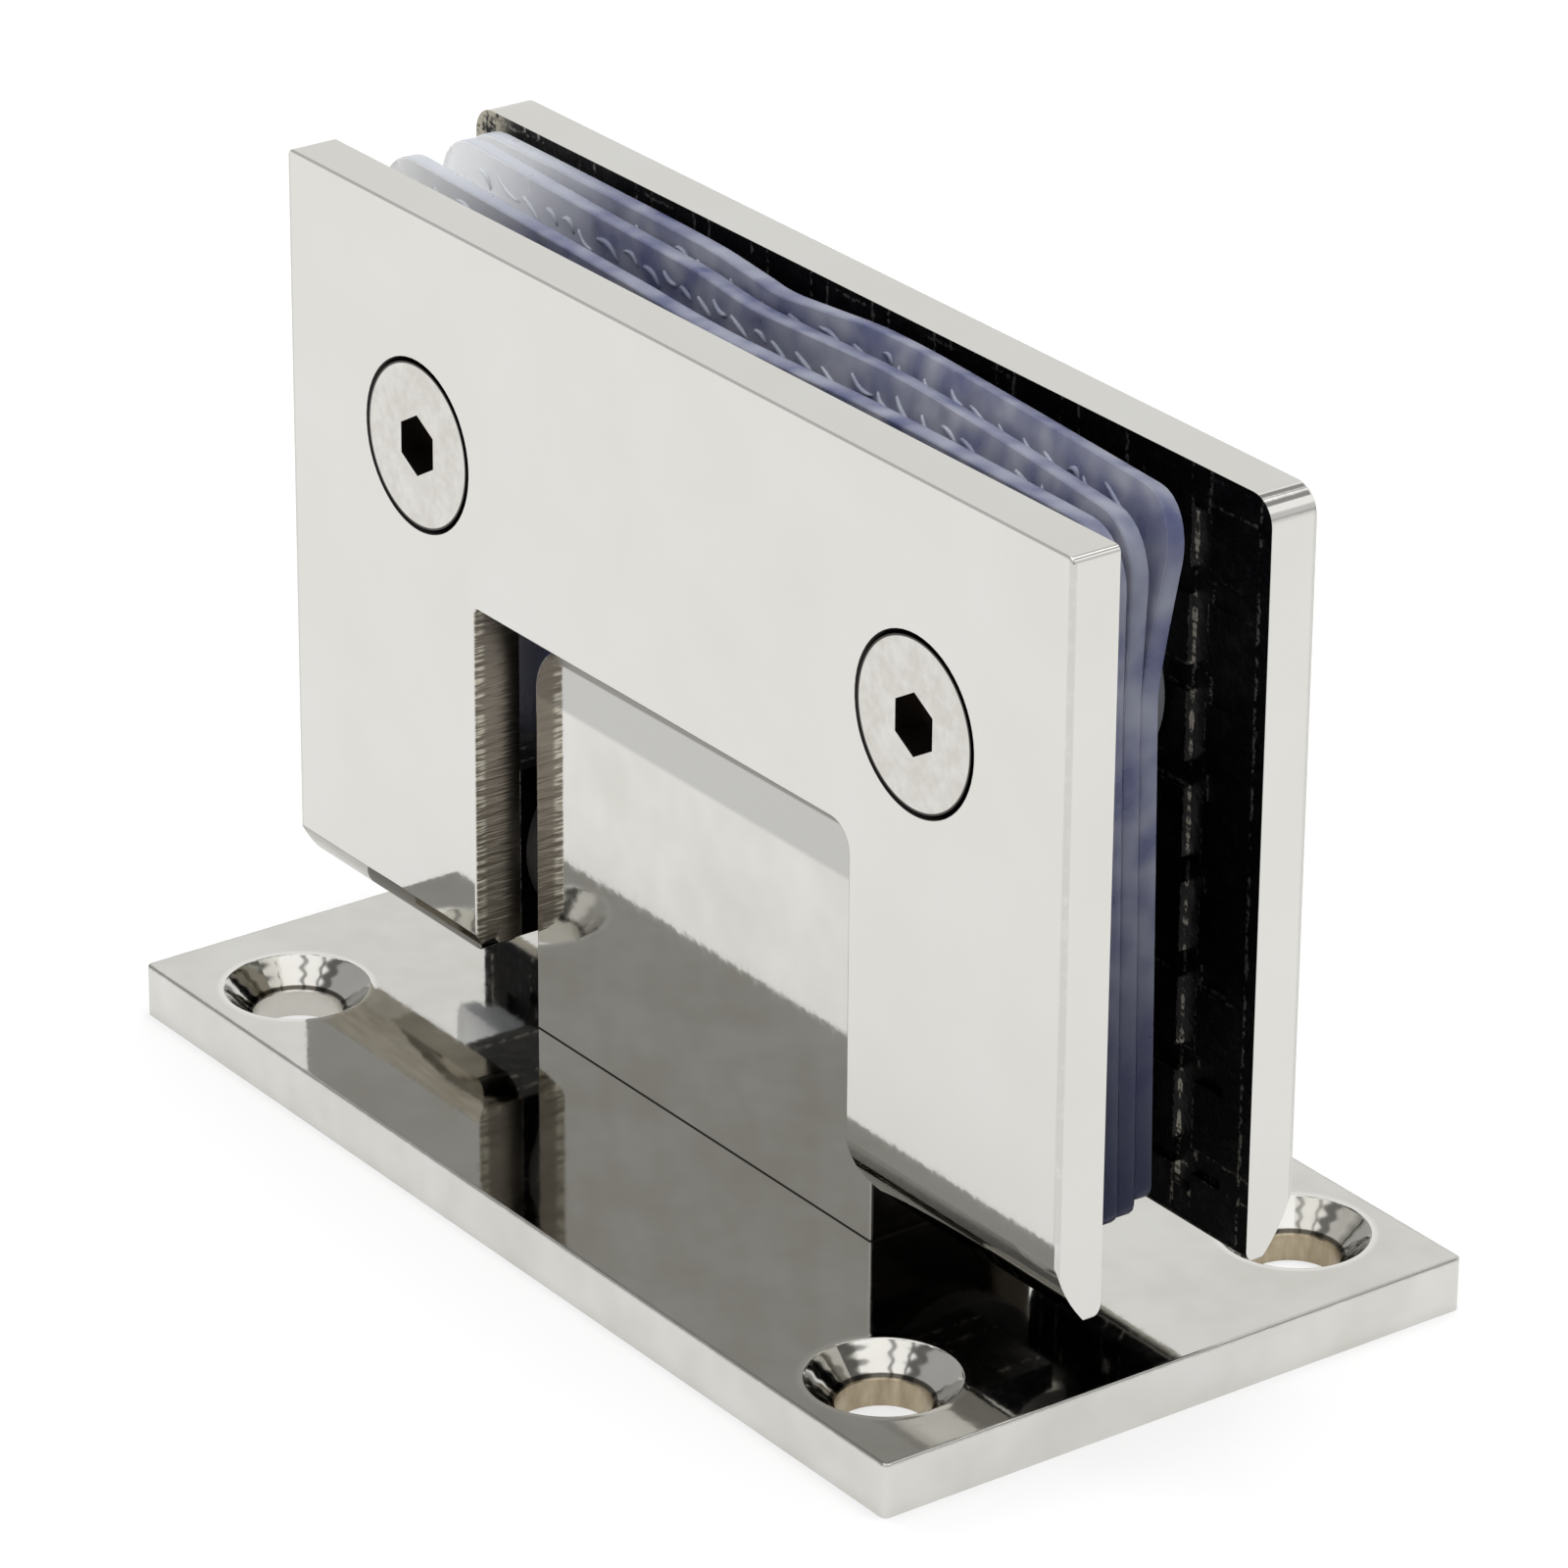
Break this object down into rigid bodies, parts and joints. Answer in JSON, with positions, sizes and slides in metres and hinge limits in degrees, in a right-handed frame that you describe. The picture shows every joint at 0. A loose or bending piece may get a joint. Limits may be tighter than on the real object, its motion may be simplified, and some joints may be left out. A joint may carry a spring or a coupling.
{
  "type": "glass door hinge",
  "caption": "Wall-mounted hinge for a glass door: screwed clamp plates with clear gaskets grip the pane and swing both ways on a pin in a block with spring detents.",
  "frame": {"origin": "middle of the wall plate's underside, the face that meets the wall", "axes": "+X along the swing axis, +Y from the front clamp plate to the back one, +Z out of the wall and into the clamp"},
  "size_m": [0.09, 0.049, 0.0652],
  "materials": {
    "plate_steel": "mirror polished",
    "pin_steel": "turned and ground",
    "screw_steel": "polished head with a bright socket",
    "spring_steel": "drawn wire",
    "bush_nylon": "moulded black",
    "sleeve_plastic": "translucent, moulded",
    "gasket_clear": "clear soft sheet with frosted cut edges"
  },
  "bodies": {
    "wall": {"wall_plate": "plate_steel", "pivot_block": "plate_steel", "block_screws": "screw_steel", "pin_bush_left": "bush_nylon", "pin_bush_right": "bush_nylon", "detent_spring_left": "spring_steel", "detent_spring_right": "spring_steel", "adjuster_screw_left": "screw_steel", "adjuster_screw_right": "screw_steel"},
    "clamp": {"pivot_pin": "pin_steel", "pin_screw_left": "screw_steel", "pin_screw_right": "screw_steel", "front_clamp_plate": "plate_steel", "back_clamp_plate": "plate_steel", "clamp_screw_left": "screw_steel", "clamp_screw_right": "screw_steel", "boss_sleeve_left": "sleeve_plastic", "boss_sleeve_right": "sleeve_plastic", "gasket_front": "gasket_clear", "gasket_middle": "gasket_clear", "gasket_rear": "gasket_clear"},
    "plunger_left": {"detent_plunger_left": "pin_steel"},
    "plunger_right": {"detent_plunger_right": "pin_steel"}
  },
  "joints": [
    {"name": "clamp_swing", "type": "hinge", "parent": "wall", "child": "clamp", "pos_m": [0, 0, 0.017], "axis": [1, 0, 0], "range_deg": [-90, 90]},
    {"name": "plunger_left_slide", "type": "slide", "parent": "wall", "child": "plunger_left", "axis": [0, 0, 1], "range_m": [-0.0006, 0], "stiffness_N_per_m": 14700, "deforming": ["detent_spring_left"]},
    {"name": "plunger_right_slide", "type": "slide", "parent": "wall", "child": "plunger_right", "axis": [0, 0, 1], "range_m": [-0.0006, 0], "stiffness_N_per_m": 14700, "deforming": ["detent_spring_right"]}
  ]
}
